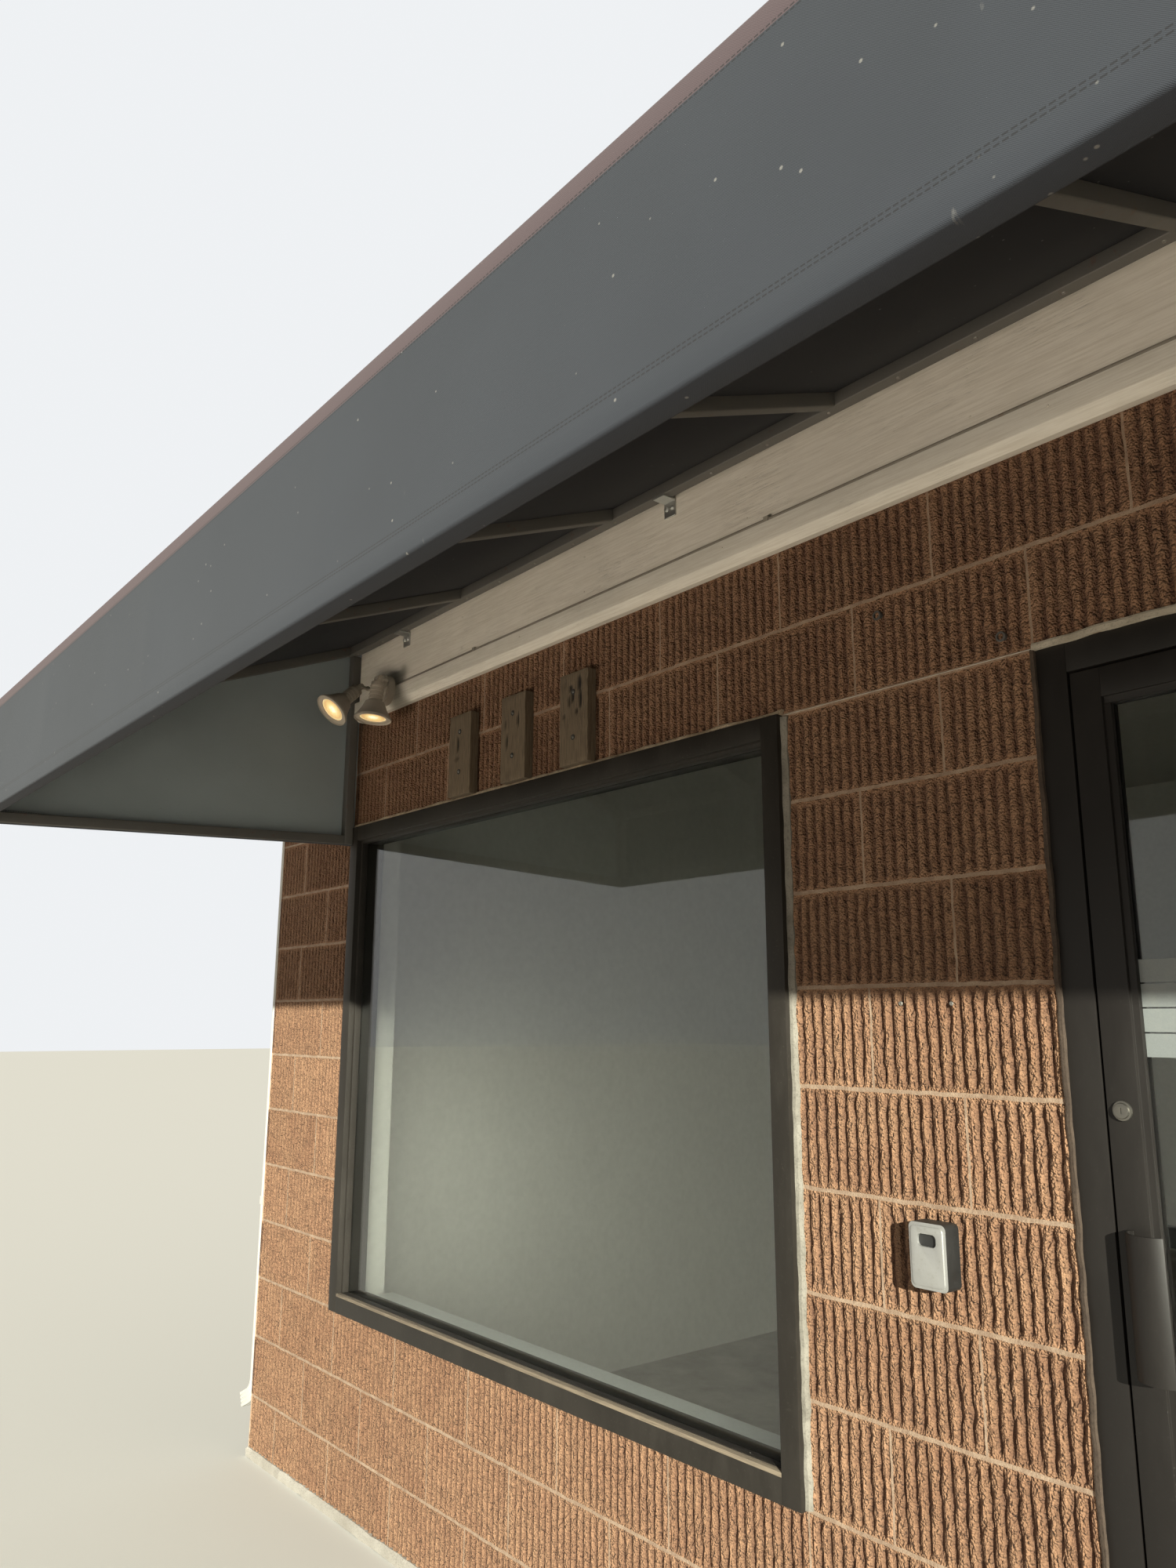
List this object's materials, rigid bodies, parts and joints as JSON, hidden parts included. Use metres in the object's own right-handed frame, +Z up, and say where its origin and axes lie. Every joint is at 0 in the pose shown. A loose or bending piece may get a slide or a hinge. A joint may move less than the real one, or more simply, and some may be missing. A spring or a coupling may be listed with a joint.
{
  "type": "corner shop building",
  "caption": "single-storey corner shop of ribbed block with display windows, a glazed door, a fabric awning on a tube frame and twin lamps",
  "frame": {"origin": "centre of the footprint on the ground, under the base mount", "axes": "+X right along the front as seen from the street, +Y in through the door, +Z up"},
  "size_m": [7.6742, 7.7614, 3.4342],
  "materials": {
    "block": "ribbed concrete block, matt",
    "concrete": "bare concrete, matt",
    "roofing": "mineral roofing felt, matt",
    "edge_metal": "dark paint, satin",
    "white_metal": "white paint, satin",
    "dark_frame": "dark bronze anodised, satin",
    "pane": "clear, polished",
    "ledge_wood": "weathered bare wood, matt",
    "white_board": "white paint, satin",
    "mill_metal": "worn mill finish",
    "pivot_metal": "dark paint, worn",
    "lock_metal": "brushed",
    "black_bar": "black, satin",
    "fascia_paint": "beige paint, weathered",
    "conduit_metal": "beige paint over steel",
    "tube_metal": "grey paint, worn with rust",
    "cloth": "woven dark blue-black, matt",
    "lamp_metal": "bronze paint, satin",
    "lamp_glass": "frosted, warm",
    "old_wood": "brown paint, weathered",
    "key_plastic": "black, matt"
  },
  "bodies": {
    "building": {"floor_slab": "concrete", "corner_piers": "block", "window_aprons": "block", "door_piers": "block", "front_head_wall": "block", "left_side_wall": "block", "right_side_wall": "block", "back_wall": "block", "roof_deck": "roofing", "roof_edge": "edge_metal", "roof_gutter": "white_metal", "downspout": "white_metal", "window_jambs": "dark_frame", "window_rails": "dark_frame", "window_glass": "pane", "window_ledges": "ledge_wood", "inner_boards": "white_board", "door_jambs": "dark_frame", "door_head": "dark_frame", "door_threshold": "mill_metal", "pivot_arms": "pivot_metal", "fascia_board": "fascia_paint", "fascia_batten": "fascia_paint", "fascia_conduit": "conduit_metal", "awning_rear_tube": "tube_metal", "awning_front_tubes": "tube_metal", "awning_struts": "tube_metal", "awning_rafters": "tube_metal", "awning_end_rails": "tube_metal", "awning_brackets": "mill_metal", "awning_top_cloth": "cloth", "awning_front_cloth": "cloth", "awning_end_cloths": "cloth", "lamp_box": "lamp_metal", "wood_blocks": "old_wood", "key_box": "key_plastic"},
    "door": {"door_stiles": "dark_frame", "door_rails": "dark_frame", "door_glass": "pane", "pivot_sleeves": "pivot_metal", "door_lock": "lock_metal", "door_pull": "dark_frame", "push_bar": "black_bar"},
    "left_lamp": {"left_lamp_bell": "lamp_metal", "left_lamp_lens": "lamp_glass"},
    "right_lamp": {"right_lamp_bell": "lamp_metal", "right_lamp_lens": "lamp_glass"}
  },
  "joints": [
    {"name": "door_swing", "type": "hinge", "parent": "building", "child": "door", "pos_m": [0.4475, -3.2552, 0.07], "axis": [0, 0, 1], "range_deg": [0, 90]},
    {"name": "left_lamp_tilt", "type": "hinge", "parent": "building", "child": "left_lamp", "pos_m": [-2.9525, -3.3632, 2.7052], "axis": [-1, 0, 0], "range_deg": [-40, 40]},
    {"name": "right_lamp_tilt", "type": "hinge", "parent": "building", "child": "right_lamp", "pos_m": [-2.8205, -3.3632, 2.7052], "axis": [-1, 0, 0], "range_deg": [0, 79]}
  ]
}
